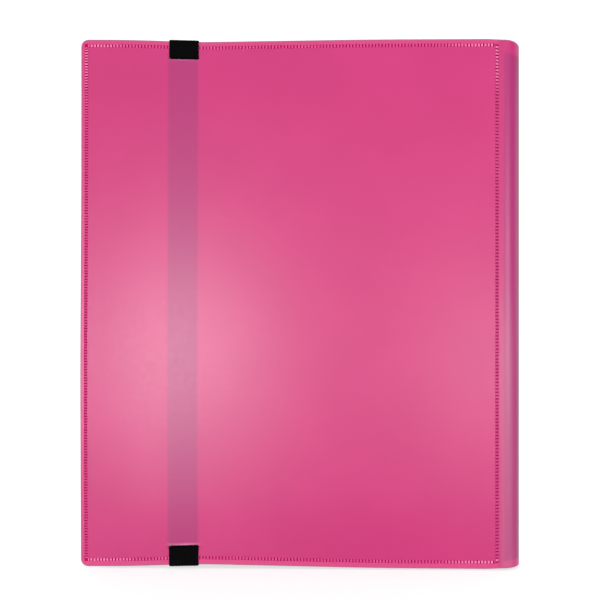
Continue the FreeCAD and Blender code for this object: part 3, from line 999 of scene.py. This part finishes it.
def light_surround():
    """A white surround to look at, which lights the binder less from its two sides."""
    world = bpy.data.worlds.new("studio")
    world.use_nodes = True
    tree = world.node_tree
    lit = tree.nodes["Background"]
    direction = tree.nodes.new("ShaderNodeTexCoord")
    parts = tree.nodes.new("ShaderNodeSeparateXYZ")
    aside = tree.nodes.new("ShaderNodeMath")
    aside.operation = "ABSOLUTE"
    fall = tree.nodes.new("ShaderNodeMapRange")
    fall.interpolation_type = "SMOOTHSTEP"
    limits = {"From Min": AHEAD_TO, "From Max": ASIDE_FROM, "To Min": LIT_AHEAD, "To Max": LIT_ASIDE}
    for key, value in limits.items():
        fall.inputs[key].default_value = value
    seen = tree.nodes.new("ShaderNodeBackground")
    seen.inputs["Strength"].default_value = SURROUND
    rays = tree.nodes.new("ShaderNodeLightPath")
    chosen = tree.nodes.new("ShaderNodeMixShader")
    for background in (lit, seen):
        background.inputs["Color"].default_value = (*WHITE, 1.0)
    for start, end in (
        (direction.outputs["Generated"], parts.inputs[0]),
        (parts.outputs[0], aside.inputs[0]),
        (aside.outputs[0], fall.inputs["Value"]),
        (fall.outputs["Result"], lit.inputs["Strength"]),
        (rays.outputs["Is Camera Ray"], chosen.inputs[0]),
        (lit.outputs[0], chosen.inputs[1]),
        (seen.outputs[0], chosen.inputs[2]),
        (chosen.outputs[0], tree.nodes["World Output"].inputs["Surface"]),
    ):
        tree.links.new(start, end)
    bpy.context.scene.world = world


def lay_card(name, low, high, z, material):
    """A level rectangle from corner low to corner high, which isn't part of the binder."""
    built = bmesh.new()
    corners = [(low[0], low[1]), (high[0], low[1]), (high[0], high[1]), (low[0], high[1])]
    built.faces.new([built.verts.new((x, y, z)) for x, y in corners])
    card = finish_mesh(built, name, [material])
    return card


def lay_floor():
    lay_card("floor", (-FLOOR_REACH, -FLOOR_REACH), (FLOOR_REACH, FLOOR_REACH), cad_low.z, floor_paper())


def place_flag():
    """A dark card on the floor before the back cover. It takes the floor's shine off the cover's foot."""
    dark = Looks("flag_card").surface(Base_Color=(*FLAG_TONE, 1.0))
    flag = lay_card("flag", FLAG_LOW, FLAG_HIGH, cad_low.z + FLAG_RAISE, dark)
    flag.visible_camera = False
    flag.visible_diffuse = False
    flag.visible_shadow = False


def place_camera():
    """Square on to the back cover, a little towards the spine and turned slightly back."""
    camera = bpy.data.cameras.new("camera")
    camera.lens = CAMERA_LENS
    camera.sensor_width = CAMERA_SENSOR
    holder = bpy.data.objects.new("camera", camera)
    holder.location = (CAMERA_ASIDE, -HALF_DEPTH - CAMERA_DISTANCE, MIDDLE_Z + CAMERA_RAISE)
    holder.rotation_euler = (math.radians(90), 0, math.radians(CAMERA_TURN))
    bpy.context.scene.collection.objects.link(holder)
    bpy.context.scene.camera = holder


def build_covers():
    border = frosted("frosted_border", BORDER_TONE, over_band=True, past_seam=True)
    groove = weld_plastic("weld_groove", GROOVE_TONE_AND_SHADE, roughness=0.6, shine=0.02)
    bead = weld_plastic("weld_bead", BEAD_TONE_AND_HIGHLIGHT, roughness=0.4, shine=0.3)
    back_field = frosted("frosted_sheet", FIELD_TONE, over_band=True, past_seam=False)
    front_field = frosted("frosted_plain", FIELD_TONE, over_band=False, past_seam=True)
    # The beads' ends have the field's material, as their kind of face comes last
    back_materials = [back_field, border, groove, bead, back_field]
    front_materials = [front_field, border, groove, bead, front_field]

    back = outer_sheet("outer_sheet_back", -1, (SLIT_FOOT, SLIT_TOP), back_materials)
    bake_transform(back)
    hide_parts("back_cover_sheet", "back_hinge_strip", "spine_sheet")
    front = outer_sheet("outer_sheet_front", 1, (), front_materials)
    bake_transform(front)
    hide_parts("front_cover_sheet", "front_hinge_strip", "spine_sheet")

    back_lining = lining_sheet("lining_back", -1, TRAY_RAISE, back_materials)
    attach(back_lining, "back_cover")
    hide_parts("back_inner_lining")
    front_lining = lining_sheet("lining_front", 1, 0.0, front_materials)
    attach(front_lining, "front_cover")
    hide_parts("front_inner_lining")


def build_band():
    woven = woven_band()
    dives = ((SLIT_FOOT - DIVE_SHIFT, -1), (SLIT_TOP + DIVE_SHIFT, 1))
    run = band_mesh("elastic_run", fixed_run_path(), dives, [woven])
    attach(run, "back_cover")
    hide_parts("elastic_fixed_run")
    loop = band_mesh("elastic_band", loop_path(), (), [woven])
    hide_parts("elastic_loop")
    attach(loop, "closure_loop")
    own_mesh(loop)


def paint_pages():
    black, film = page_plastic(), clear_film()
    paint("page_root_block", black)
    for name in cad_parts:
        if name.endswith("_backing"):
            paint(name, black)
        if name.endswith("_pockets"):
            paint(name, film)


build_covers()
build_band()
paint_pages()
light_studio()
lay_floor()
place_flag()
place_camera()
bpy.context.scene.view_settings.view_transform = "Standard"
# A ray that passes beside the pages' black sheets meets the films of many pages
bpy.context.scene.cycles.transparent_max_bounces = 48
